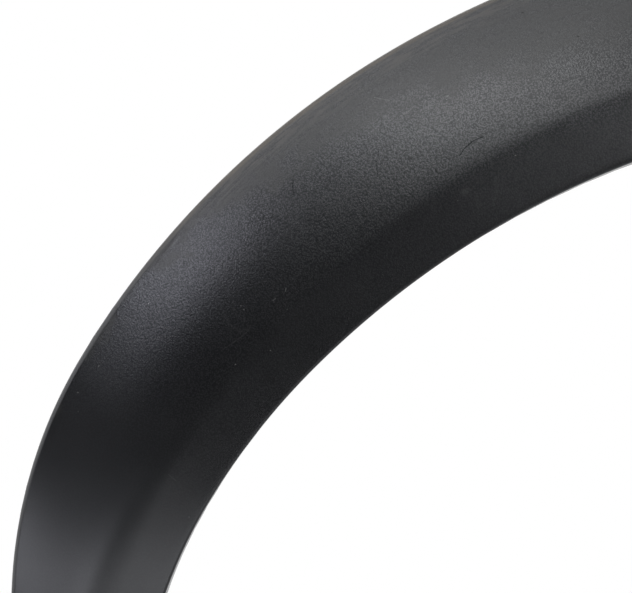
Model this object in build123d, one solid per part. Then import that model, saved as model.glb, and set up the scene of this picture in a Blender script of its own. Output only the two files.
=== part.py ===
from build123d import *
import math
import os

# Wheel arch trim: a moulded arch and the push-in clips that sit on its back.
# X runs along the car, Y inboard and Z up; the origin is on the body plane, at the locating pin.
# Lengths are millimetres. Arch angles count from the vertical, skin tilts from straight outboard.

# Edge of the wheel opening: crown, shoulder and corner arcs, then a straight leg
wheel_crown_radius = 414.0
wheel_crown_end = 45.0
wheel_shoulder_radius = 322.0
wheel_shoulder_end = 59.0
wheel_corner_radius = 232.0
leg_length = 85.0

# Edge against the body: how much its arcs differ from the wheel-side ones, and where they end
crown_width = 96.0
body_crown_gain = 99.0
body_crown_end = 28.0
body_shoulder_gain = 94.0
body_shoulder_end = 59.0
body_corner_gain = -6.0

# Section of the moulding, from the lip on the body round to the wheel-side flange
wall = 2.6
lip_depth = 7.7
lip_tilt = 84.0
lip_edge_radius = 6.0
face_tilt_outer = 36.0
face_tilt_inner = 14.0
crease_radius_crown = 14.0
crease_radius_leg = 60.0
band_tilt = -5.0
band_width_crown = 30.0
band_width_leg = 17.0
wheel_edge_bevel = 2.0
flange_tilt = -89.2

# Sections of the loft, which crowd towards the feet
station_count = 37
station_crowding = 0.3

# Screw lugs on the rear edge of the flange, each between two gussets
screws_each_side = 2
last_screw_inset = 54.4
lug_length = 38.0
lug_depth = 17.0
lug_corner_radius = 7.0
slot_width = 6.5
slot_length = 11.0
slot_depth = 9.0
gusset_spread = 30.0
gusset_thickness = 1.8
gusset_drop = 4.0
gusset_reach = 42.0
gusset_height = 26.0

# Push-in clips: eight-sided foot, neck and flared collar, and a flat barbed shank with a window
clip_sides = 8
clip_play = 0.2
clip_neck_radius = 3.3
clip_foot_radius = 6.6
clip_foot_height = 1.6
clip_collar_radius = 6.4
clip_collar_flare = 36.0
clip_collar_gap = 0.4
clip_shank_thickness = 4.0
clip_stem_half = 2.9
clip_grip = 2.2
clip_barb_half = 4.4
clip_barb_slope = 0.8
clip_barb_height = 1.0
clip_tip_half = 1.6
clip_tip_rise = 14.0
clip_window_width = 2.4
clip_window_rise = 10.0

# Clip houses, open at the end that looks away from the crown
house_clearance = 2.0
house_wall = 1.9
house_plate = 2.2
house_setback = 3.0

# Locating pin at the crown, standing on a shouldered root with crossed fins
pin_radius = 4.0
pin_length = 14.0
pin_lead = 1.5
root_radius = 5.4
root_setback = 2.0
fin_thickness = 1.8
fin_span = 26.0

# Wall that closes the back of each leg near its foot
end_wall = 2.4
end_wall_inset = 1.2

# How far rough shapes run past the surfaces that trim them
overrun = 5.0


def arch_arcs(crown_height, arcs):
    """Tangent arcs from the crown down the left side, drawn with the sketch Y as height."""
    chain = []
    start = Vector(0, crown_height)
    direction = Vector(-1, 0)
    turned = 0.0
    for radius, end_angle in arcs:
        arc = JernArc(start, direction, radius, end_angle - turned)
        chain.append(arc)
        start = arc @ 1
        direction = arc % 1
        turned = end_angle
    return chain


def wheel_outline():
    """Left half of the wheel-side edge, from the crown to the foot of the leg."""
    arcs = arch_arcs(
        -crown_width / 2,
        [
            (wheel_crown_radius, wheel_crown_end),
            (wheel_shoulder_radius, wheel_shoulder_end),
            (wheel_corner_radius, 90.0),
        ],
    )
    corner = arcs[-1] @ 1
    return Wire(arcs + [Line(corner, corner - Vector(0, leg_length))])


def body_outline(foot_height):
    """Left half of the edge against the body, carried just below the foot of the leg."""
    arcs = arch_arcs(
        crown_width / 2,
        [
            (wheel_crown_radius + body_crown_gain, body_crown_end),
            (wheel_shoulder_radius + body_shoulder_gain, body_shoulder_end),
            (wheel_corner_radius + body_corner_gain, 90.0),
        ],
    )
    corner = arcs[-1] @ 1
    return Wire(arcs + [Line(corner, Vector(corner.X, foot_height - overrun))])


wheel_edge = wheel_outline()
body_edge = body_outline((wheel_edge @ 1).Y)
reach = wheel_edge.length
room = 2 * crown_width
inboard = Vector(0, 1, 0)

# Places along the wheel-side edge, counted from the crown; those on the left are negative
spread = [1 - 2 * i / (station_count - 1) for i in range(station_count)]
stations = [reach * share * (1 + station_crowding * (1 - abs(share))) for share in spread]
fixing_pitch = (reach - last_screw_inset) / screws_each_side
screw_places = [fixing_pitch * i for i in range(-screws_each_side, screws_each_side + 1)]
clip_places = [place + fixing_pitch / 2 for place in screw_places[:-1]]


def radial(distance):
    """Point on the wheel-side edge at this place, and the way out from the wheel."""
    along = min(abs(distance), reach)
    point = wheel_edge.position_at(along, position_mode=PositionMode.LENGTH)
    tangent = wheel_edge.tangent_at(along, position_mode=PositionMode.LENGTH)
    side = -1.0 if distance > 0 else 1.0
    return Vector(side * point.X, 0, point.Y), Vector(side * tangent.Y, 0, -tangent.X)


def width_at(distance):
    """Width from the wheel-side edge to the body-side edge, square to the wheel-side edge."""
    point, outward = radial(-abs(distance))
    start = Vector(point.X, point.Z)
    ray = Line(start, start + Vector(outward.X, outward.Z) * room)
    return (Vector(*ray.intersect(body_edge)[0]) - start).length


def section_plane(distance):
    """Plane across the arch: X away from the wheel, Y inboard, Z along the arch to the left."""
    point, outward = radial(distance)
    return Plane(point, x_dir=outward, z_dir=outward.cross(inboard))


def back_plane(distance):
    """Body plane halfway across the arch: X along the arch to the left, Z inboard."""
    point, outward = radial(distance)
    middle = point + outward * width_at(distance) / 2
    return Plane(middle, x_dir=outward.cross(inboard), z_dir=inboard)


def flange_plane(distance):
    """Plane on the wheel-side edge: X along the arch to the left, Y inboard."""
    point, outward = radial(distance)
    return Plane(point, x_dir=outward.cross(inboard), z_dir=outward * -1)


def facing(tilt):
    """Outward direction of the skin at this tilt, in the section plane."""
    return Vector(math.sin(math.radians(tilt)), -math.cos(math.radians(tilt)))


def travel(tilt):
    """Direction along the skin at this tilt, from the lip towards the wheel."""
    return Vector(-math.cos(math.radians(tilt)), -math.sin(math.radians(tilt)))


def bow(start, end, tilt_from, tilt_to):
    """Smooth curve of even bend between two places on the skin."""
    handle = (end - start).length / (3 * math.cos(math.radians(tilt_from - tilt_to) / 4) ** 2)
    return Bezier(start, start + travel(tilt_from) * handle, end - travel(tilt_to) * handle, end)


def mitre(corner, tilt_from, tilt_to, inset):
    """Corner of the skin moved inside both of the faces that meet there."""
    spread = math.cos(math.radians(tilt_from - tilt_to))
    return corner - (facing(tilt_from) + facing(tilt_to)) * (inset / (1 + spread))


def run_back(start, tilt, depth):
    """Point straight behind a corner, along the skin at this tilt, at this depth inboard."""
    return start + travel(tilt) * ((depth - start.Y) / travel(tilt).Y)


def skin_path(distance):
    """Outside of the section: lip, face, crease, band and flange, with sharp edges between."""
    fade = abs(distance) / reach
    ease = fade * fade * (3 - 2 * fade)
    crease_radius = crease_radius_crown + (crease_radius_leg - crease_radius_crown) * ease
    band_width = band_width_crown + (band_width_leg - band_width_crown) * ease
    lip_corner = Vector(width_at(distance), 0) + travel(lip_tilt) * lip_depth

    # The face takes up the width that the crease and the band leave
    rest = lip_corner.X
    rest += (facing(band_tilt) - facing(face_tilt_inner)).X * crease_radius
    rest += travel(band_tilt).X * band_width
    face_radius = rest / (facing(face_tilt_outer) - facing(face_tilt_inner)).X
    crease_start = lip_corner + (facing(face_tilt_inner) - facing(face_tilt_outer)) * face_radius
    crease_end = crease_start + (facing(band_tilt) - facing(face_tilt_inner)) * crease_radius
    wheel_corner = crease_end + travel(band_tilt) * band_width

    # The lip and the flange run past the body plane and are trimmed there later
    lip = Line(run_back(lip_corner, lip_tilt, overrun), lip_corner)
    face = bow(lip_corner, crease_start, face_tilt_outer, face_tilt_inner)
    crease = bow(crease_start, crease_end, face_tilt_inner, band_tilt)
    band = Line(crease_end, wheel_corner)
    flange = Line(wheel_corner, run_back(wheel_corner, flange_tilt, lug_depth + overrun))
    return [lip, face, crease, band, flange]


def back_path(distance, inset):
    """Inside of the section, in flats whose corners lie inside the skin by the inset."""
    lip, face, crease, band, flange = skin_path(distance)
    lip_corner = mitre(lip @ 1, lip_tilt, face_tilt_outer, inset)
    wheel_corner = mitre(band @ 1, band_tilt, flange_tilt, inset)
    return Polyline(
        run_back(lip_corner, lip_tilt, overrun),
        lip_corner,
        (face @ 0.5) - facing((face_tilt_outer + face_tilt_inner) / 2) * inset,
        (crease @ 0.5) - facing((face_tilt_inner + band_tilt) / 2) * inset,
        wheel_corner,
        run_back(wheel_corner, flange_tilt, lug_depth + overrun),
    )


def wall_section(distance):
    """Closed section of the wall."""
    skin = skin_path(distance)
    back = back_path(distance, wall)
    ends = [Line(skin[-1] @ 1, back @ 1), Line(back @ 0, skin[0] @ 0)]
    return section_plane(distance) * make_face(skin + [back] + ends)


def hollow_at(distance, length):
    """Space behind the middle of the wall here, as a short prism that trims what stands in it."""
    middle = back_path(distance, wall / 2)
    outline = make_face([middle, Line(middle @ 1, middle @ 0)])
    return extrude(section_plane(distance) * outline, length / 2, both=True)


def nearest_edge(shape, place):
    """Edge of the shape that passes nearest to this place in the crown section."""
    point = section_plane(0).from_local_coords(place)
    return min(shape.edges(), key=lambda edge: edge.distance_to(point))


def soften_edges(shell):
    """Shell with its lip edge rounded and the wheel-side edge bevelled."""
    lip, face, crease, band, flange = skin_path(0)
    shell = fillet(nearest_edge(shell, lip @ 1), lip_edge_radius)
    return chamfer(nearest_edge(shell, band @ 1), wheel_edge_bevel)


def gusset(distance):
    """Three-cornered rib from the flange out to the face."""
    corners = [
        (-overrun, -gusset_drop),
        (-overrun, -room),
        (gusset_reach, -room),
        (gusset_reach, -gusset_drop - gusset_height),
        (0, -gusset_drop),
    ]
    outline = make_face(Polyline(*corners, close=True))
    rib = extrude(section_plane(distance) * outline, gusset_thickness / 2, both=True)
    return rib & hollow_at(distance, 2 * gusset_thickness)


def clip_house(distance):
    """Box on the back of the face with a slot in its plate, both open away from the crown."""
    away = 1 if distance < 0 else -1
    slot_radius = clip_neck_radius + clip_play
    inside = 2 * (clip_foot_radius + house_clearance)
    outside = inside + 2 * house_wall
    rear = (Align.CENTER, Align.CENTER, Align.MAX)
    block = Pos(0, 0, -house_setback) * Box(outside, outside, room, align=rear)
    hollow = Box(outside, inside, room, align=rear)
    hollow = Pos(away * house_wall, 0, -house_setback - house_plate) * hollow
    slot = extrude(Circle(slot_radius), room, both=True)
    slot += Pos(away * outside / 2, 0, 0) * Box(outside, 2 * slot_radius, room)
    house = back_plane(distance).location * (block - hollow - slot)
    return house & hollow_at(distance, 2 * outside)


def locating_pin():
    """Pin with its root and crossed fins."""
    front = (Align.CENTER, Align.CENTER, Align.MIN)
    rear = (Align.CENTER, Align.CENTER, Align.MAX)
    root = Cylinder(root_radius, room, align=rear)
    root += Box(fin_span, fin_thickness, room, align=rear)
    root += Box(fin_thickness, fin_span, room, align=rear)
    shank = Cylinder(pin_radius, root_setback + pin_length, align=front)
    shank = chamfer(shank.edges().sort_by(Axis.Z)[-1], pin_lead)
    shoulder = back_plane(0).location * Pos(0, 0, -root_setback)
    return (shoulder * root & hollow_at(0, 2 * fin_span)) + shoulder * shank


def leg_wall(side):
    """Plate that closes the back of one leg near its foot."""
    middle = side * (reach - end_wall_inset - end_wall / 2)
    outline = Pos(0, -house_setback - room / 2) * Rectangle(2 * room, room)
    plate = extrude(section_plane(middle) * outline, end_wall / 2, both=True)
    return plate & hollow_at(middle, 2 * end_wall)


def lug(distance):
    """Block that keeps the flange long where a screw holds it."""
    outline = RectangleRounded(lug_length, 2 * lug_depth, lug_corner_radius)
    return extrude(flange_plane(distance) * outline, wall + overrun, both=True)


def screw_slot(distance):
    """Slotted screw hole through a lug."""
    outline = Pos(0, slot_depth) * SlotOverall(slot_length, slot_width)
    return extrude(flange_plane(distance) * outline, wall + overrun, both=True)


def build_moulding():
    """Arch shell with everything that is moulded on its back."""
    shell = soften_edges(loft([wall_section(distance) for distance in stations]))

    # Everything behind the body plane goes, apart from the lugs
    behind = Pos(0, room, 0) * Box(2 * reach, 2 * room, 2 * reach)
    behind -= [lug(distance) for distance in screw_places]
    shell -= behind
    shell -= [screw_slot(distance) for distance in screw_places]

    # What stands on the back starts inside the wall
    backing = [locating_pin(), leg_wall(-1), leg_wall(1)]
    backing += [clip_house(distance) for distance in clip_places]
    for distance in screw_places:
        backing += [gusset(distance + offset) for offset in (-gusset_spread / 2, gusset_spread / 2)]
    return shell + backing


def build_clip():
    """Push-in clip about its own axis, with the body plane at height zero."""
    plate_rear = -house_setback
    foot_rear = plate_rear - house_plate - clip_play
    foot = Pos(0, 0, foot_rear) * RegularPolygon(clip_foot_radius, clip_sides)
    neck = Pos(0, 0, foot_rear) * RegularPolygon(clip_neck_radius, clip_sides)
    collar = Pos(0, 0, plate_rear) * RegularPolygon(clip_collar_radius, clip_sides)
    clip = extrude(foot, -clip_foot_height) + extrude(neck, plate_rear - foot_rear)
    clip += extrude(collar, house_setback - clip_collar_gap, taper=-clip_collar_flare)

    # Barbed shank, drawn as one half of an arrow and mirrored
    barb_foot = clip_grip + clip_barb_slope
    right = [
        (clip_stem_half, plate_rear),
        (clip_stem_half, clip_grip),
        (clip_barb_half, barb_foot),
        (clip_barb_half, barb_foot + clip_barb_height),
        (clip_tip_half, clip_tip_rise),
    ]
    left = [(-across, rise) for across, rise in reversed(right)]
    arrow = make_face(Polyline(*right, *left, close=True))
    arrow -= Pos(0, clip_window_rise / 2) * Rectangle(clip_window_width, clip_window_rise)
    return clip + extrude(Plane.XZ * arrow, clip_shank_thickness / 2, both=True)


def build_clips():
    """All the clips in their houses."""
    clip = build_clip()
    return Compound([back_plane(distance).location * clip for distance in clip_places])


os.makedirs("parts", exist_ok=True)
export_step(build_moulding(), "parts/arch_moulding.step")
export_step(build_clips(), "parts/retaining_clips.step")
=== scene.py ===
import math
import bpy
import bmesh
from mathutils import Matrix, Vector
from mathutils.bvhtree import BVHTree


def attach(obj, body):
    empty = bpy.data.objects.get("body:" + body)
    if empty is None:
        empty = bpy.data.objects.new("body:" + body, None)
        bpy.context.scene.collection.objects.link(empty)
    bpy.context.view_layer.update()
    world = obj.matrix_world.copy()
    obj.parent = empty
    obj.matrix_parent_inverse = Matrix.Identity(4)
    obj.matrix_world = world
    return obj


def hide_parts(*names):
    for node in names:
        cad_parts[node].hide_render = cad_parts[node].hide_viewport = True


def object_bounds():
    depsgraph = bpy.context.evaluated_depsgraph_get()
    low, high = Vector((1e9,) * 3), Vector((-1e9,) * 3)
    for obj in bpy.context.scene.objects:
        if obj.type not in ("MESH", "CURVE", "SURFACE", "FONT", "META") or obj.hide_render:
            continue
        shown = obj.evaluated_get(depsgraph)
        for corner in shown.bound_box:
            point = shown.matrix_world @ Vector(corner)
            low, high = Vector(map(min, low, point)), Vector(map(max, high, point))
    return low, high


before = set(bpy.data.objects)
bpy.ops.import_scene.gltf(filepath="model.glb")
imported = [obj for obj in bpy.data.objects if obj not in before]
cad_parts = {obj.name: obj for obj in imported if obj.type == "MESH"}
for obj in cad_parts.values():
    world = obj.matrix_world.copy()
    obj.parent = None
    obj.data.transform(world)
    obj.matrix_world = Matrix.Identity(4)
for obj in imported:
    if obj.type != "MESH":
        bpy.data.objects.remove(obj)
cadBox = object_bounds()
scene = bpy.context.scene
millimetre = 0.001  # in metres, for the shapes and marks that are written in millimetres
print("frame loaded, CAD box", [list(corner) for corner in cadBox])


# shape of the arch, millimetres and degrees, the same figures as the solid
archShape = {
    # arcs from the crown down: radius, and angle from the vertical where it ends
    "wheelArcs": [(414.0, 45.0), (322.0, 59.0), (232.0, 90.0)],
    "bodyArcs": [(513.0, 28.0), (416.0, 59.0), (226.0, 90.0)],
    "crownWidth": 96.0,
    "legLength": 85.0,
    "lipDepth": 7.7,
    "lipTilt": 84.0,
    "lipRound": 6.0,
    "faceTiltOuter": 36.0,
    "faceTiltInner": 14.0,
    "creaseCrown": 14.0,  # radius of the crease
    "creaseLeg": 60.0,
    "bandTilt": -5.0,
    "bandCrown": 30.0,  # width of the band
    "bandLeg": 17.0,
    "wheelRound": 1.6,
    "flangeTilt": -89.2,
    "footRound": 1.2,
    "wall": 2.6,
    "sharpAngle": 28.0,  # the shading breaks at edges over this
    # how finely the skin is divided, along the arch and then across it
    "stations": 410,
    "footSteps": 5,
    "lipSteps": 3,
    "lipRoundSteps": 12,
    "faceSteps": 26,
    "creaseSteps": 14,
    "bandSteps": 8,
    "wheelRoundSteps": 10,
    "flangeSteps": 6,
}


def outlineArcs(crownHeight, arcs):
    # tangent arcs from the crown down the left side: centre, radius, start and end angle
    chain, centreX, centreZ, turned, lastRadius = [], 0.0, crownHeight, 0.0, 0.0
    for radius, endAngle in arcs:
        step = lastRadius - radius if chain else -radius
        a = math.radians(turned)
        centreX -= step * math.sin(a)
        centreZ += step * math.cos(a)
        chain.append((centreX, centreZ, radius, a, math.radians(endAngle)))
        turned, lastRadius = endAngle, radius
    return chain


wheelChain = outlineArcs(-archShape["crownWidth"] / 2, archShape["wheelArcs"])
bodyChain = outlineArcs(archShape["crownWidth"] / 2, archShape["bodyArcs"])
archReach = sum(r * (b - a) for _, _, r, a, b in wheelChain) + archShape["legLength"]


def wheelPlace(distance):
    # point on the wheel-side edge and the way out from the wheel, negative distances on the left
    left, side = abs(distance), 1.0 if distance > 0 else -1.0
    for centreX, centreZ, radius, start, end in wheelChain:
        if left <= radius * (end - start):
            a = start + left / radius
            x, z = centreX - radius * math.sin(a), centreZ + radius * math.cos(a)
            return -side * x, z, side * math.sin(a), math.cos(a)
        left -= radius * (end - start)
    centreX, centreZ, radius, start, end = wheelChain[-1]
    return side * (radius - centreX), centreZ - left, side, 0.0


def archWidth(distance):
    # from the wheel-side edge straight out to the body-side edge
    x, z, outX, outZ = wheelPlace(-abs(distance))
    slack = 1e-9  # where two arcs meet
    for centreX, centreZ, radius, start, end in bodyChain:
        dx, dz = x - centreX, z - centreZ
        along = dx * outX + dz * outZ
        run = -along + math.sqrt(along * along - dx * dx - dz * dz + radius * radius)
        angle = math.atan2(-(dx + run * outX), dz + run * outZ)
        if start - slack <= angle <= end + slack:
            return run
    centreX, centreZ, radius, start, end = bodyChain[-1]
    return (centreX - radius - x) / outX


def facing(tilt):
    return Vector((math.sin(math.radians(tilt)), -math.cos(math.radians(tilt))))


def travel(tilt):
    return Vector((-math.cos(math.radians(tilt)), -math.sin(math.radians(tilt))))


def sweepArc(centre, radius, tiltFrom, tiltTo, steps):
    tilts = [tiltFrom + (tiltTo - tiltFrom) * i / steps for i in range(steps + 1)]
    return [(centre + facing(t) * radius, facing(t)) for t in tilts]


def sectionLayout(distance):
    # radii, centres and sharp corners that the skin and the inside of the wall share
    s = archShape
    outer, inner, band = s["faceTiltOuter"], s["faceTiltInner"], s["bandTilt"]
    fade = abs(distance) / archReach
    ease = fade * fade * (3 - 2 * fade)
    creaseRadius = s["creaseCrown"] + (s["creaseLeg"] - s["creaseCrown"]) * ease
    bandWidth = s["bandCrown"] + (s["bandLeg"] - s["bandCrown"]) * ease
    lipRear = Vector((archWidth(distance), 0.0))
    lipCorner = lipRear + travel(s["lipTilt"]) * s["lipDepth"]
    rest = lipCorner.x + (facing(band) - facing(inner)).x * creaseRadius + travel(band).x * bandWidth
    faceRadius = rest / (facing(outer) - facing(inner)).x
    faceCentre = lipCorner - facing(outer) * faceRadius
    creaseCentre = faceCentre + facing(inner) * faceRadius - facing(inner) * creaseRadius
    creaseEnd = creaseCentre + facing(band) * creaseRadius
    return {
        "lipRear": lipRear,
        "lipCorner": lipCorner,
        "faceRadius": faceRadius,
        "faceCentre": faceCentre,
        "creaseRadius": creaseRadius,
        "creaseCentre": creaseCentre,
        "creaseEnd": creaseEnd,
        "wheelCorner": creaseEnd + travel(band) * bandWidth,
    }


def archSection(distance):
    # points and outward directions of the skin, from the rear of the lip to the rear of the flange
    s, layout = archShape, sectionLayout(distance)
    lip, inner, band, flange = s["lipTilt"], s["faceTiltInner"], s["bandTilt"], s["flangeTilt"]
    lipRear, faceRadius, faceCentre = layout["lipRear"], layout["faceRadius"], layout["faceCentre"]

    # round that touches the straight lip and the bowed face
    r = s["lipRound"]
    base = lipRear - facing(lip) * r - faceCentre
    half = base.dot(travel(lip))
    runs = -half + math.sqrt(half * half - base.dot(base) + (faceRadius - r) ** 2)
    roundCentre = lipRear - facing(lip) * r + travel(lip) * runs
    toRound = roundCentre - faceCentre
    faceStart = math.degrees(math.atan2(toRound.x, -toRound.y))

    # round between the band and the flange
    rim = s["wheelRound"]
    tangent = rim * math.tan(math.radians(band - flange) / 2)
    bandEnd = layout["wheelCorner"] - travel(band) * tangent
    rimCentre = bandEnd - facing(band) * rim

    lipSteps, bandSteps, flangeSteps = s["lipSteps"], s["bandSteps"], s["flangeSteps"]
    rows = [(lipRear + travel(lip) * runs * i / lipSteps, facing(lip)) for i in range(lipSteps)]
    rows += sweepArc(roundCentre, r, lip, faceStart, s["lipRoundSteps"])
    rows += sweepArc(faceCentre, faceRadius, faceStart, inner, s["faceSteps"])[1:]
    rows += sweepArc(layout["creaseCentre"], layout["creaseRadius"], inner, band, s["creaseSteps"])[1:]
    for i in range(1, bandSteps):
        rows.append((layout["creaseEnd"].lerp(bandEnd, i / bandSteps), facing(band)))
    rows += sweepArc(rimCentre, rim, band, flange, s["wheelRoundSteps"])
    flangeStart = rows[-1][0]
    flangeEnd = flangeStart + travel(flange) * (-flangeStart.y / travel(flange).y)
    for i in range(1, flangeSteps + 1):
        rows.append((flangeStart.lerp(flangeEnd, i / flangeSteps), facing(flange)))
    return rows


def archSpace(distance, flat):
    # from the plane of a section to metres in the frame
    x, z, outX, outZ = wheelPlace(distance)
    return Vector((x + outX * flat.x, flat.y, z + outZ * flat.x)) * millimetre


def archStations():
    # even stations, and closer ones at the feet, where the skin is set in to round it off
    s = archShape
    count, steps, r = s["stations"], s["footSteps"], s["footRound"]
    turns = [math.pi / 2 * i / steps for i in range(steps)]
    ends = [(r * (1 - math.cos(a)), r * (1 - math.sin(a))) for a in turns]
    span = archReach - r
    places = [(-archReach + gap, inset) for gap, inset in ends]
    places += [(-span + 2 * span * i / (count - 1), 0.0) for i in range(count)]
    places += [(archReach - gap, inset) for gap, inset in reversed(ends)]
    return places


def buildArchSkin(mesh):
    # fine outer skin as a grid of quads
    # each point keeps how far it lies from the lip, the wheel side and the crown
    fromLip = mesh.verts.layers.float.new("fromLip")
    fromWheel = mesh.verts.layers.float.new("fromWheel")
    fromCrown = mesh.verts.layers.float.new("fromCrown")
    grid = []
    for distance, inset in archStations():
        row, walked, last = [], 0.0, None
        for flat, outward in archSection(distance):
            walked += (flat - last).length if last is not None else 0.0
            last = flat
            vert = mesh.verts.new(archSpace(distance, flat - outward * inset))
            vert[fromLip] = walked * millimetre
            vert[fromWheel] = flat.x * millimetre
            vert[fromCrown] = distance * millimetre
            row.append(vert)
        grid.append(row)
    for rowA, rowB in zip(grid, grid[1:]):
        for i in range(len(rowA) - 1):
            face = mesh.faces.new((rowA[i], rowA[i + 1], rowB[i + 1], rowB[i]))
            face.smooth = True
    return grid


def insideCorners(distance):
    # flats of the inside of the wall, as in the solid
    s, layout = archShape, sectionLayout(distance)
    wall, lip, flange = s["wall"], s["lipTilt"], s["flangeTilt"]
    outer, inner, band = s["faceTiltOuter"], s["faceTiltInner"], s["bandTilt"]

    def mitre(corner, tiltA, tiltB):
        spread = 1 + math.cos(math.radians(tiltA - tiltB))
        return corner - (facing(tiltA) + facing(tiltB)) * (wall / spread)

    lipInside = mitre(layout["lipCorner"], lip, outer)
    wheelInside = mitre(layout["wheelCorner"], band, flange)
    return [
        lipInside - travel(lip) * (lipInside.y / travel(lip).y),
        lipInside,
        layout["faceCentre"] + facing((outer + inner) / 2) * (layout["faceRadius"] - wall),
        layout["creaseCentre"] + facing((inner + band) / 2) * (layout["creaseRadius"] - wall),
        wheelInside,
        wheelInside - travel(flange) * (wheelInside.y / travel(flange).y),
    ]


def pointOnFlats(flats, point):
    best = None
    for a, b in zip(flats, flats[1:]):
        run = b - a
        share = max(0.0, min(1.0, (point - a).dot(run) / run.dot(run)))
        near = a + run * share
        if best is None or (near - point).length < (best - point).length:
            best = near
    return best


def closeFoot(mesh, row, distance):
    # end of the wall at a foot, from the rounded skin in to the flats of the inside
    flats = insideCorners(distance)
    inner = []
    for flat, outward in archSection(distance):
        inside = pointOnFlats(flats, flat - outward * archShape["wall"])
        inner.append(mesh.verts.new(archSpace(distance, inside)))
    rim = [mesh.verts.new(v.co) for v in row]
    for i in range(len(row) - 1):
        corners = (rim[i], rim[i + 1], inner[i + 1], inner[i])
        if distance > 0:
            corners = corners[::-1]
        face = mesh.faces.new(corners)
        face.material_index = 1


# how the solid's faces are told apart, in metres
backCarry = {
    "weld": 1e-6,
    "footZone": 2e-5,  # height above the lowest point that counts as a foot
    "skinGap": 0.001,  # nearer to the skin than this, and facing its way, a face is the old skin
    "skinFacing": 0.6,  # cosine between the two
}


def carryBack(mesh, skinTree):
    # hidden side of the moulding from the solid, without its outer skin and its feet
    s = backCarry
    back = bmesh.new()
    back.from_mesh(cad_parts["arch_moulding"].data)
    bmesh.ops.remove_doubles(back, verts=back.verts, dist=s["weld"])
    everything = back.verts[:] + back.edges[:] + back.faces[:]
    bmesh.ops.bisect_plane(
        back, geom=everything, plane_co=(0, 0, 0), plane_no=(0, 1, 0), dist=s["weld"])
    footTop = min(v.co.z for v in back.verts) + s["footZone"]
    spare = []
    for face in back.faces:
        if all(v.co.z < footTop for v in face.verts):
            spare.append(face)
            continue
        middle = face.calc_center_median()
        _, outward, _, gap = skinTree.find_nearest(middle)
        if middle.y < -s["weld"] and gap < s["skinGap"] and outward.dot(face.normal) > s["skinFacing"]:
            spare.append(face)
    bmesh.ops.delete(back, geom=spare, context="FACES")
    copies = {v: mesh.verts.new(v.co) for v in back.verts}
    for face in back.faces:
        copy = mesh.faces.new([copies[v] for v in face.verts])
        copy.smooth = True
        copy.material_index = 1
    print("back carried over:", len(back.faces), "faces,", len(spare), "left to the skin")
    back.free()


def buildArch():
    mesh = bmesh.new()
    grid = buildArchSkin(mesh)
    mesh.normal_update()
    crownRow = grid[len(grid) // 2]
    onFace = archShape["lipSteps"] + archShape["lipRoundSteps"] + archShape["faceSteps"] // 5
    if crownRow[onFace].normal.y > 0:
        bmesh.ops.reverse_faces(mesh, faces=mesh.faces[:])
    mesh.normal_update()
    skinTree = BVHTree.FromBMesh(mesh)
    closeFoot(mesh, grid[0], -archReach)
    closeFoot(mesh, grid[-1], archReach)
    carryBack(mesh, skinTree)
    data = bpy.data.meshes.new("archTrim")
    mesh.to_mesh(data)
    mesh.free()
    data.set_sharp_from_angle(angle=math.radians(archShape["sharpAngle"]))
    piece = bpy.data.objects.new("archTrim", data)
    scene.collection.objects.link(piece)
    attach(piece, "root")
    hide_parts("arch_moulding")
    print("arch built:", len(data.polygons), "faces")
    return piece


# node helpers
def newMaterial(name):
    material = bpy.data.materials.new(name)
    material.use_nodes = True
    material.node_tree.nodes.clear()
    return material, material.node_tree


def addNode(tree, kind, **settings):
    node = tree.nodes.new(kind)
    for key, value in settings.items():
        setattr(node, key, value)
    return node


def newFinish(name):
    # material with one Principled shader, and the place on the piece for its textures
    material, tree = newMaterial(name)
    out = addNode(tree, "ShaderNodeOutputMaterial")
    shader = addNode(tree, "ShaderNodeBsdfPrincipled")
    tree.links.new(shader.outputs[0], out.inputs[0])
    where = addNode(tree, "ShaderNodeTexCoord").outputs["Object"]
    return material, tree, shader, where


def feed(tree, socket, value):
    # a link for another node's output, or else a plain value
    if isinstance(value, bpy.types.NodeSocket):
        tree.links.new(value, socket)
    else:
        socket.default_value = value


def doMath(tree, operation, a, b=0.0, clamp=False):
    node = addNode(tree, "ShaderNodeMath", operation=operation, use_clamp=clamp)
    feed(tree, node.inputs[0], a)
    feed(tree, node.inputs[1], b)
    return node.outputs[0]


def doTimes(tree, a, b):
    return doMath(tree, "MULTIPLY", a, b)


def doRange(tree, value, fromLow, fromHigh, toLow=0.0, toHigh=1.0):
    # smooth step from one span of values to another
    node = addNode(tree, "ShaderNodeMapRange", interpolation_type="SMOOTHSTEP")
    for socket, given in zip(node.inputs, (value, fromLow, fromHigh, toLow, toHigh)):
        feed(tree, socket, given)
    return node.outputs[0]


def doMix(tree, share, a, b):
    node = addNode(tree, "ShaderNodeMix", data_type="RGBA")
    feed(tree, node.inputs[0], share)
    feed(tree, node.inputs[6], a)  # the colour sockets
    feed(tree, node.inputs[7], b)
    return node.outputs[2]


def doNoise(tree, where, scale, detail, rough):
    node = addNode(tree, "ShaderNodeTexNoise")
    feed(tree, node.inputs["Vector"], where)
    node.inputs["Scale"].default_value = scale
    node.inputs["Detail"].default_value = detail
    node.inputs["Roughness"].default_value = rough
    return node.outputs[0]


def doCells(tree, where, scale, feature="F1"):
    node = addNode(tree, "ShaderNodeTexVoronoi", feature=feature)
    feed(tree, node.inputs["Vector"], where)
    node.inputs["Scale"].default_value = scale
    return node


def doVector(tree, operation, a, b):
    node = addNode(tree, "ShaderNodeVectorMath", operation=operation)
    feed(tree, node.inputs[0], a)
    feed(tree, node.inputs[1], b)
    return node


def doBump(tree, height, distance, strength):
    node = addNode(tree, "ShaderNodeBump")
    node.inputs["Strength"].default_value = strength
    node.inputs["Distance"].default_value = distance
    tree.links.new(height, node.inputs["Height"])
    return node.outputs[0]


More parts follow.
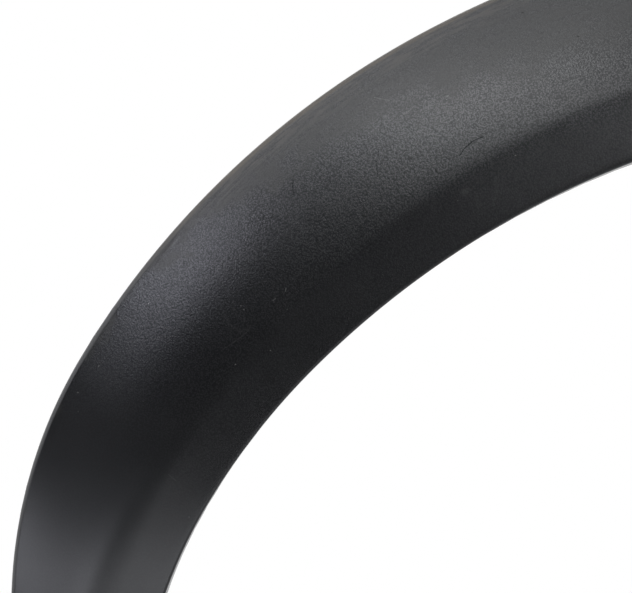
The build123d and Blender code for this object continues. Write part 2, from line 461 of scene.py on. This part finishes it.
# satin face of the moulding, in metres; each noise has its scale, detail and roughness
satinFinish = {
    "colourDeep": (0.0033, 0.0034, 0.0039, 1),
    "colourWorn": (0.0056, 0.0057, 0.0061, 1),
    "wornNoise": (14.0, 4.0, 0.6),
    "wornRange": (0.38, 0.66),
    "rough": (0.275, 0.295),
    "roughNoise": (26.0, 4.0, 0.6),
    "roughRange": (0.3, 0.7),
    "gloss": 0.5,
    # pebbled grain
    "grainSize": 1500.0,  # cells to a metre
    "grainDepth": 0.00008,
    "grainEdge": (0.15, 0.6),  # how far from a cell's middle its top ends and its pit begins
    "topGloss": (1.32, 1.04),  # clean, and where the grain is filled
    "pitGloss": (0.70, 0.96),
    "grainLeft": 0.25,  # share of its relief where it is filled
    "pebbleShare": 0.7,
    "wrinkleShare": 0.6,
    "wrinkleNoise": (900.0, 2.0, 0.55),
    # streaks along the arch, in the film and the dust
    "streakAlong": 80.0,  # to a metre along the arch and across it
    "streakAcross": 520.0,
    "streakNoise": (1.0, 4.0, 0.6),
    # greasy film inside the lip, which fills the grain
    "filmColour": (0.013, 0.0126, 0.0098, 1),
    "filmShare": 0.75,
    "filmRough": 0.34,
    "filmGloss": 0.88,  # share of the gloss that it leaves
    "filmFill": 0.76,  # how full it makes the grain
    "filmReach": (0.070, 0.012),  # its width at the crown and on the legs
    "filmSpan": (0.14, 0.38),  # distance from the crown over which it narrows
    "filmThins": 0.55,  # share of its width at which it begins to thin out
    "filmNoise": (36.0, 4.0, 0.6),  # for its wandering edge
    "filmWander": 0.06,
    "filmStreak": (0.32, 0.6, 0.55, 1.0),
    # road dust that fills the grain
    "legFill": (0.34, 0.43),  # distance from the crown over which it sets in
    "bandFill": (0.022, 0.036),  # distance from the wheel-side edge over which it ends
    "bandShare": 0.5,
    # dust on the lip, greyer and in a narrower strip on the legs
    "lipDust": (0.115, 0.104, 0.089, 1),
    "legDust": (0.082, 0.082, 0.083, 1),
    "dustStart": 0.0086,  # where the strip begins to end, from the rear of the lip
    "dustEnd": (0.0104, 0.0098),  # above and on the legs
    "dustTurn": (0.28, 0.37),  # distance from the crown over which it changes
    "dustRough": 0.65,
    "dustGloss": 0.5,
    "dustStreak": (0.36, 0.62, 0.5, 1.0),
    "legDustShare": 0.62,
    "smudge": 0.28,  # streaks of dust wiped inwards from the lip, above the legs
    "smudgeEnd": 0.022,
    "smudgeStreak": (0.42, 0.6),
    "smudgeFade": 0.6,  # share of the change to the legs over which they fade
    # specks and marks
    "speckColour": (0.42, 0.42, 0.40, 1),
    "speckSpacing": 95.0,
    "speckSize": (0.013, 0.026),
    "speckSparse": (0.70, 0.95),
    "speckShare": 0.7,
    "paleShare": 0.12,
    "crumbShare": 0.26,
    "scratchDepth": 0.5,
    "raggedNoise": (900.0, 2.0, 0.5),
    "raggedEdge": 0.9,  # share of a mark's softness
}

# marks of use on the face: path in millimetres along X and Z, half width, softness, how strong
faceMarks = {
    "dark": [
        # hair scratch
        ([(-226.4, -72.2), (-224.1, -68.9), (-220.5, -65.7), (-215.5, -63.5)], 0.18, 0.35, 0.75),
        ([(-215.5, -63.0), (-217.2, -60.2), (-219.0, -57.9)], 0.1, 0.4, 0.28),
        ([(-302.0, -81.0), (-302.4, -85.7), (-301.5, -89.9)], 0.2, 0.8, 0.45),
        ([(-263.0, -69.4), (-264.0, -75.0), (-263.6, -81.5)], 0.2, 0.9, 0.5),
        ([(-366.6, -121.8), (-362.5, -115.7), (-357.9, -109.7)], 0.3, 0.7, 0.3),  # line inside the lip
        ([(-232.5, -43.9), (-232.3, -43.7)], 0.2, 0.5, 0.5),
        ([(-171.6, -17.1), (-171.2, -17.1)], 0.35, 0.4, 0.5),
        ([(-196.3, -4.9), (-195.9, -4.9)], 0.35, 0.4, 0.5),
    ],
    "pale": [
        ([(-224.6, -89.0), (-223.3, -88.1)], 1.2, 1.8, 0.28),  # smears on the band
        ([(-222.4, -88.5), (-219.7, -86.3), (-217.8, -83.5)], 0.15, 0.9, 0.22),
        ([(-210.1, -82.6), (-209.6, -88.1), (-211.0, -93.5)], 0.6, 2.6, 0.16),
        ([(-218.7, -89.9), (-217.3, -95.3)], 0.8, 2.8, 0.12),
        ([(-333.3, -159.9), (-326.0, -154.9), (-321.9, -151.2)], 0.12, 0.4, 0.32),  # long scratch
        ([(-333.8, -143.5), (-331.0, -149.0), (-326.0, -152.1), (-321.4, -150.3)], 0.3, 1.6, 0.12),
        ([(-329.7, -138.9), (-327.8, -144.4), (-324.2, -147.1)], 0.25, 1.4, 0.1),
        ([(-358.3, -112.5), (-356.4, -110.2), (-355.0, -108.3)], 0.3, 1.2, 0.45),  # beside the lip
        ([(-264.6, -44.3), (-257.8, -45.9)], 0.12, 0.35, 0.6),
        ([(-251.5, -52.7), (-249.2, -51.4), (-246.4, -48.6)], 0.12, 0.4, 0.5),
        ([(-358.8, -217.3), (-355.7, -220.1)], 0.12, 0.4, 0.5),
    ],
    "crumbs": [
        ([(-231.6, -44.4), (-231.0, -44.3)], 0.2, 0.35, 0.6),
        ([(-312.4, -160.8), (-312.2, -160.8)], 0.2, 0.3, 1.0),
        ([(-328.3, -167.1), (-328.1, -167.1)], 0.2, 0.3, 0.9),
        ([(-304.7, -142.1), (-304.5, -142.1)], 0.15, 0.3, 0.7),
        ([(-201.2, -72.2), (-201.0, -72.2)], 0.25, 0.35, 0.8),
        ([(-326.0, -140.3), (-325.8, -140.3)], 0.2, 0.3, 0.7),
        ([(-324.6, -142.1), (-324.4, -142.1)], 0.2, 0.3, 0.6),
        ([(-305.5, -133.9), (-305.3, -132.5)], 0.15, 0.3, 0.7),
        ([(-310.0, -137.1), (-311.2, -138.0)], 0.15, 0.4, 0.5),
        ([(-227.4, -92.6), (-227.2, -92.6)], 0.15, 0.3, 0.6),
        ([(-392.3, -168.6), (-392.1, -168.2)], 0.2, 0.4, 0.7),
        ([(-402.2, -180.7), (-402.0, -180.7)], 0.2, 0.4, 0.7),
    ],
}


def markDistance(tree, flat, path):
    # distance in metres from a path of straight runs
    nearest = None
    for start, end in zip(path, path[1:]):
        a = Vector((start[0], 0.0, start[1])) * millimetre
        run = Vector((end[0], 0.0, end[1])) * millimetre - a
        fromStart = doVector(tree, "SUBTRACT", flat, a).outputs[0]
        along = doVector(tree, "DOT_PRODUCT", fromStart, run / run.length_squared).outputs["Value"]
        foot = addNode(tree, "ShaderNodeVectorMath", operation="SCALE")
        foot.inputs[0].default_value = run
        feed(tree, foot.inputs["Scale"], doMath(tree, "MINIMUM", along, 1.0, True))
        gap = doVector(tree, "DISTANCE", fromStart, foot.outputs[0]).outputs["Value"]
        nearest = gap if nearest is None else doMath(tree, "MINIMUM", nearest, gap)
    return nearest


def markMask(tree, flat, ragged, marks):
    # all marks of one kind as one mask, with ragged edges
    total = None
    for path, halfWidth, soft, strength in marks:
        edge = doTimes(tree, ragged, soft * satinFinish["raggedEdge"] * millimetre)
        away = doMath(tree, "ADD", markDistance(tree, flat, path), edge)
        full, none = halfWidth * millimetre, (halfWidth + soft) * millimetre
        mask = doRange(tree, away, full, none, strength, 0.0)
        total = mask if total is None else doMath(tree, "MAXIMUM", total, mask)
    return total


def filmMask(tree, where, fromLip, downArch, streak):
    s = satinFinish
    reach = doRange(tree, downArch, *s["filmSpan"], *s["filmReach"])
    wander = doMath(tree, "SUBTRACT", doNoise(tree, where, *s["filmNoise"]), 0.5)
    edge = doMath(tree, "ADD", fromLip, doTimes(tree, wander, s["filmWander"]))
    film = doRange(tree, edge, doTimes(tree, reach, s["filmThins"]), reach, 1.0, 0.0)
    return doTimes(tree, film, doRange(tree, streak, *s["filmStreak"]))


def dustMask(tree, fromLip, downArch, onLeg, streak):
    s = satinFinish
    stripEnd = doRange(tree, onLeg, 0.0, 1.0, *s["dustEnd"])
    strip = doRange(tree, fromLip, s["dustStart"], stripEnd, 1.0, 0.0)
    wiped = doRange(tree, onLeg, 0.0, s["smudgeFade"], s["smudge"], 0.0)
    smudge = doRange(tree, fromLip, s["dustEnd"][0], s["smudgeEnd"], wiped, 0.0)
    smudge = doTimes(tree, smudge, doRange(tree, streak, *s["smudgeStreak"]))
    dust = doMath(tree, "MAXIMUM", strip, smudge)
    dust = doTimes(tree, dust, doRange(tree, streak, *s["dustStreak"]))
    return doTimes(tree, dust, doRange(tree, downArch, *s["legFill"], 1.0, s["legDustShare"]))


def speckMask(tree, where):
    s = satinFinish
    cells = doCells(tree, where, s["speckSpacing"])
    tint = addNode(tree, "ShaderNodeSeparateColor")
    tree.links.new(cells.outputs["Color"], tint.inputs[0])
    dots = doRange(tree, cells.outputs["Distance"], *s["speckSize"], 1.0, 0.0)
    return doTimes(tree, dots, doRange(tree, tint.outputs[0], *s["speckSparse"]))


def paintSatinFace():
    s = satinFinish
    material, tree, shader, where = newFinish("satinFacePlastic")
    fromLip, fromWheel, fromCrown = [
        addNode(tree, "ShaderNodeAttribute", attribute_name=name).outputs["Fac"]
        for name in ("fromLip", "fromWheel", "fromCrown")
    ]
    downArch = doMath(tree, "ABSOLUTE", fromCrown)
    onLeg = doRange(tree, downArch, *s["dustTurn"])
    flat = doVector(tree, "MULTIPLY", where, (1, 0, 1)).outputs[0]
    along = addNode(tree, "ShaderNodeCombineXYZ")
    feed(tree, along.inputs[0], doTimes(tree, fromCrown, s["streakAlong"]))
    feed(tree, along.inputs[1], doTimes(tree, fromLip, s["streakAcross"]))
    streak = doNoise(tree, along.outputs[0], *s["streakNoise"])

    # where the film, the dust and the marks of use lie
    film = filmMask(tree, where, fromLip, downArch, streak)
    dust = dustMask(tree, fromLip, downArch, onLeg, streak)
    speck = speckMask(tree, where)
    ragged = doNoise(tree, where, *s["raggedNoise"])
    dark, pale, crumbs = [
        markMask(tree, flat, ragged, faceMarks[kind]) for kind in ("dark", "pale", "crumbs")
    ]

    # where the grain is filled
    byFilm = doTimes(tree, film, s["filmFill"])
    filled = doMath(tree, "MAXIMUM", byFilm, doRange(tree, downArch, *s["legFill"]))
    onBand = doRange(tree, fromWheel, *s["bandFill"], s["bandShare"], 0.0)
    filled = doMath(tree, "MAXIMUM", filled, onBand)

    worn = doRange(tree, doNoise(tree, where, *s["wornNoise"]), *s["wornRange"])
    colour = doMix(tree, worn, s["colourDeep"], s["colourWorn"])
    colour = doMix(tree, doTimes(tree, film, s["filmShare"]), colour, s["filmColour"])
    colour = doMix(tree, dust, colour, doMix(tree, onLeg, s["lipDust"], s["legDust"]))
    for mask, share in ((pale, "paleShare"), (crumbs, "crumbShare"), (speck, "speckShare")):
        colour = doMix(tree, doTimes(tree, mask, s[share]), colour, s["speckColour"])

    rough = doRange(tree, doNoise(tree, where, *s["roughNoise"]), *s["roughRange"], *s["rough"])
    rough = doRange(tree, film, 0.0, 1.0, rough, s["filmRough"])
    rough = doRange(tree, dust, 0.0, 1.0, rough, s["dustRough"])

    # the grain is glossier on its tops, and the scratches are dull
    pebble = doCells(tree, where, s["grainSize"], "SMOOTH_F1").outputs[0]
    tops = doRange(tree, filled, 0.0, 1.0, *s["topGloss"])
    pits = doRange(tree, filled, 0.0, 1.0, *s["pitGloss"])
    gloss = doTimes(tree, doMath(tree, "SUBTRACT", 1.0, dark), s["gloss"])
    gloss = doTimes(tree, gloss, doRange(tree, pebble, *s["grainEdge"], tops, pits))
    gloss = doTimes(tree, gloss, doRange(tree, film, 0.0, 1.0, 1.0, s["filmGloss"]))
    gloss = doTimes(tree, gloss, doRange(tree, dust, 0.0, 1.0, 1.0, s["dustGloss"]))

    # relief of the grain, with the scratches as grooves in it
    wrinkle = doTimes(tree, doNoise(tree, where, *s["wrinkleNoise"]), s["wrinkleShare"])
    grain = doMath(tree, "ADD", doTimes(tree, pebble, s["pebbleShare"]), wrinkle)
    grain = doTimes(tree, grain, doRange(tree, filled, 0.0, 1.0, 1.0, s["grainLeft"]))
    grain = doMath(tree, "SUBTRACT", grain, doTimes(tree, dark, s["scratchDepth"]))

    tree.links.new(colour, shader.inputs["Base Color"])
    tree.links.new(rough, shader.inputs["Roughness"])
    tree.links.new(gloss, shader.inputs["Specular IOR Level"])
    tree.links.new(doBump(tree, grain, s["grainDepth"], 1.0), shader.inputs["Normal"])
    return material


# plain moulded back
backFinish = {
    "colourDeep": (0.009, 0.0092, 0.0098, 1),
    "colourPale": (0.015, 0.0152, 0.0158, 1),
    "flowNoise": (18.0, 5.0, 0.62),
    "flowRange": (0.35, 0.68),
    "rough": (0.40, 0.55),
    "roughNoise": (60.0, 3.0, 0.5),
    "roughRange": (0.3, 0.7),
    "gloss": 0.5,
    "textureNoise": (420.0, 2.0, 0.5),
    "textureDepth": 0.0002,
    "textureStrength": 0.2,
}


def paintMouldedBack():
    s = backFinish
    material, tree, shader, where = newFinish("mouldedBackPlastic")
    flow = doRange(tree, doNoise(tree, where, *s["flowNoise"]), *s["flowRange"])
    rough = doRange(tree, doNoise(tree, where, *s["roughNoise"]), *s["roughRange"], *s["rough"])
    texture = doNoise(tree, where, *s["textureNoise"])
    relief = doBump(tree, texture, s["textureDepth"], s["textureStrength"])
    tree.links.new(doMix(tree, flow, s["colourDeep"], s["colourPale"]), shader.inputs["Base Color"])
    tree.links.new(rough, shader.inputs["Roughness"])
    tree.links.new(relief, shader.inputs["Normal"])
    shader.inputs["Specular IOR Level"].default_value = s["gloss"]
    return material


# push-in clips of natural nylon
clipFinish = {
    "weld": 1e-6,
    "edgeRound": 0.00025,
    "edgeSteps": 2,
    "edgeAngle": 25.0,  # edges over this are rounded
    "colourCore": (0.60, 0.575, 0.50, 1),
    "colourSkin": (0.68, 0.66, 0.60, 1),
    "colourNoise": (160.0, 4.0, 0.6),
    "rough": (0.35, 0.50),
    "roughNoise": (500.0, 3.0, 0.5),
    "roughRange": (0.3, 0.7),
    "glow": 0.12,  # light that passes through the nylon
    "glowRadius": (0.002, 0.0018, 0.0014),
    "glowScale": 0.6,
}


def dressClips():
    s = clipFinish
    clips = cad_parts["retaining_clips"]
    weld = clips.modifiers.new("joinFacets", "WELD")
    weld.merge_threshold = s["weld"]
    bevel = clips.modifiers.new("mouldedEdges", "BEVEL")
    bevel.width = s["edgeRound"]
    bevel.segments = s["edgeSteps"]
    bevel.limit_method = "ANGLE"
    bevel.angle_limit = math.radians(s["edgeAngle"])
    material, tree, shader, where = newFinish("naturalNylon")
    milky = doNoise(tree, where, *s["colourNoise"])
    rough = doRange(tree, doNoise(tree, where, *s["roughNoise"]), *s["roughRange"], *s["rough"])
    tree.links.new(doMix(tree, milky, s["colourCore"], s["colourSkin"]), shader.inputs["Base Color"])
    tree.links.new(rough, shader.inputs["Roughness"])
    shader.inputs["Subsurface Weight"].default_value = s["glow"]
    shader.inputs["Subsurface Radius"].default_value = s["glowRadius"]
    shader.inputs["Subsurface Scale"].default_value = s["glowScale"]
    clips.data.materials.clear()
    clips.data.materials.append(material)
    print("clips dressed")


# floor, light and camera
studioSetup = {
    "floorRadius": 0.95,
    "floorCorners": 96,
    "floorFade": (0.46, 0.92),  # where the floor begins and ends its fade into the white
    "floorColour": (0.82, 0.82, 0.81, 1),
    "floorPaler": 1.04,  # palest patches against that colour
    "floorNoise": (3.0, 2.0, 0.5),
    "floorRough": 0.8,
    "floorGloss": 0.2,
    "fill": 0.03,
    "backdropTurn": (0.0, 0.35),  # turn to the rear over which the white backdrop comes in
    # each lamp has its place, aim and direction of its width, then width and height, watts and tint
    "lamps": {
        "overheadSoftbox": (
            (-0.90, -0.69, 1.95), (-0.25, 0.00, -0.15), (0.94, -0.27, 0.20),
            (2.31, 1.50), 23.8, (0.97, 0.985, 1.04)),
        "keyStrip": (
            (-0.96, -1.48, 1.46), (-0.25, 0.00, -0.15), (0.58, -0.71, -0.40),
            (1.15, 0.10), 6.9, (0.98, 0.995, 1.02)),
        "frontSoftbox": (
            (-0.29, -1.96, 1.05), (-0.25, 0.00, -0.15), (0.89, 0.23, 0.41),
            (0.71, 1.96), 13.6, (0.98, 0.995, 1.02)),
        "frontLow": (
            (0.47, -2.18, -0.04), (-0.25, 0.00, -0.15), (0.94, 0.32, 0.13),
            (0.13, 0.20), 2.9, (0.98, 0.99, 1.03)),
        "leftSoftbox": (
            (-1.92, -0.99, 1.09), (-0.25, 0.00, -0.15), (0.36, -0.90, -0.24),
            (1.17, 0.15), 7.2, (0.95, 0.965, 1.09)),
        "leftLow": (
            (-1.67, -0.77, -0.43), (-0.39, 0.00, -0.27), (0.53, -0.80, -0.28),
            (1.70, 0.38), 6.4, (0.96, 0.975, 1.065)),
        "floorBounce": (
            (-0.64, -0.57, -0.43), (-0.64, -0.57, 1.00), (0.88, 0.48, 0.00),
            (0.94, 0.15), 1.3, (0.97, 0.985, 1.045)),
        "rimSoftbox": (
            (-1.66, 0.12, 1.66), (-0.25, 0.00, -0.15), (0, 1, 0),
            (0.9, 1.4), 7.1, (0.97, 0.985, 1.04)),
        "rightSoftbox": (
            (1.55, -1.25, 1.15), (0.20, 0.00, -0.15), (0, 1, 0),
            (0.9, 0.9), 12.0, (0.98, 0.99, 1.03)),
        "rearSoftbox": (
            (0.50, 1.90, 1.30), (0.00, 0.00, -0.15), (1, 0, 0),
            (1.6, 0.9), 32.0, (0.98, 0.99, 1.03)),
    },
    "cameraPlace": (-0.2916, -1.131, -0.1362),
    "imageWidth": 632,
    "focalPixels": 2412.0,
    "sensorWidth": 36.0,
    "nearestSeen": 0.01,
}


def buildFloor():
    s = studioSetup
    mesh = bmesh.new()
    bmesh.ops.create_circle(mesh, cap_ends=True, segments=s["floorCorners"], radius=s["floorRadius"])
    data = bpy.data.meshes.new("studioFloor")
    mesh.to_mesh(data)
    mesh.free()
    floor = bpy.data.objects.new("studioFloor", data)
    floor.location.z = cadBox[0][2]
    scene.collection.objects.link(floor)
    material, tree = newMaterial("paleFloor")
    out = addNode(tree, "ShaderNodeOutputMaterial")
    shader = addNode(tree, "ShaderNodeBsdfPrincipled")
    clear = addNode(tree, "ShaderNodeBsdfTransparent")
    blend = addNode(tree, "ShaderNodeMixShader")
    where = addNode(tree, "ShaderNodeTexCoord").outputs["Object"]
    paler = tuple(c * s["floorPaler"] for c in s["floorColour"][:3]) + (1,)
    patches = doNoise(tree, where, *s["floorNoise"])
    tree.links.new(doMix(tree, patches, s["floorColour"], paler), shader.inputs["Base Color"])
    shader.inputs["Roughness"].default_value = s["floorRough"]
    shader.inputs["Specular IOR Level"].default_value = s["floorGloss"]
    away = addNode(tree, "ShaderNodeVectorMath", operation="LENGTH")
    tree.links.new(where, away.inputs[0])
    tree.links.new(doRange(tree, away.outputs["Value"], *s["floorFade"]), blend.inputs[0])
    tree.links.new(shader.outputs[0], blend.inputs[1])
    tree.links.new(clear.outputs[0], blend.inputs[2])
    tree.links.new(blend.outputs[0], out.inputs[0])
    data.materials.append(material)
    print("floor laid at", round(floor.location.z, 4))


def hangLamps():
    for name, (place, aim, wide, size, watts, tint) in studioSetup["lamps"].items():
        lamp = bpy.data.lights.new(name, "AREA")
        lamp.shape = "RECTANGLE"
        lamp.size, lamp.size_y = size
        lamp.energy = watts
        lamp.color = tint
        holder = bpy.data.objects.new(name, lamp)
        back = (Vector(place) - Vector(aim)).normalized()
        across = (Vector(wide) - back * Vector(wide).dot(back)).normalized()
        holder.rotation_euler = Matrix((across, back.cross(across), back)).transposed().to_euler()
        holder.location = place
        scene.collection.objects.link(holder)


def buildLight():
    s = studioSetup
    hangLamps()
    world = bpy.data.worlds.new("whiteStudio")
    scene.world = world
    world.use_nodes = True
    tree = world.node_tree
    tree.nodes.clear()
    out = addNode(tree, "ShaderNodeOutputWorld")
    fill, white = [addNode(tree, "ShaderNodeBackground") for _ in range(2)]
    for background, strength in ((fill, s["fill"]), (white, 1.0)):
        background.inputs["Color"].default_value = (1, 1, 1, 1)
        background.inputs["Strength"].default_value = strength

    # the backdrop behind the arch is white, also in what its edges mirror
    path = addNode(tree, "ShaderNodeLightPath")
    parts = addNode(tree, "ShaderNodeSeparateXYZ")
    tree.links.new(addNode(tree, "ShaderNodeTexCoord").outputs["Generated"], parts.inputs[0])
    behind = doRange(tree, parts.outputs[1], *s["backdropTurn"])
    seen = doTimes(tree, path.outputs["Is Glossy Ray"], behind)
    for ray in ("Is Camera Ray", "Is Transmission Ray"):
        seen = doMath(tree, "MAXIMUM", seen, path.outputs[ray])
    mix = addNode(tree, "ShaderNodeMixShader")
    tree.links.new(seen, mix.inputs[0])
    tree.links.new(fill.outputs[0], mix.inputs[1])
    tree.links.new(white.outputs[0], mix.inputs[2])
    tree.links.new(mix.outputs[0], out.inputs[0])
    scene.view_settings.view_transform = "Standard"
    print("light set,", len(s["lamps"]), "lamps")


def placeCamera():
    s = studioSetup
    lens = bpy.data.cameras.new("photoCamera")
    lens.sensor_width = s["sensorWidth"]
    lens.lens = s["sensorWidth"] * s["focalPixels"] / s["imageWidth"]
    lens.clip_start = s["nearestSeen"]
    camera = bpy.data.objects.new("photoCamera", lens)
    camera.location = s["cameraPlace"]
    camera.rotation_euler = (math.pi / 2, 0.0, 0.0)  # level, looking along +Y
    scene.collection.objects.link(camera)
    scene.camera = camera
    print("camera placed, lens", round(lens.lens, 1), "mm")


arch = buildArch()
arch.data.materials.append(paintSatinFace())
arch.data.materials.append(paintMouldedBack())
print("arch painted")
dressClips()
buildFloor()
buildLight()
placeCamera()
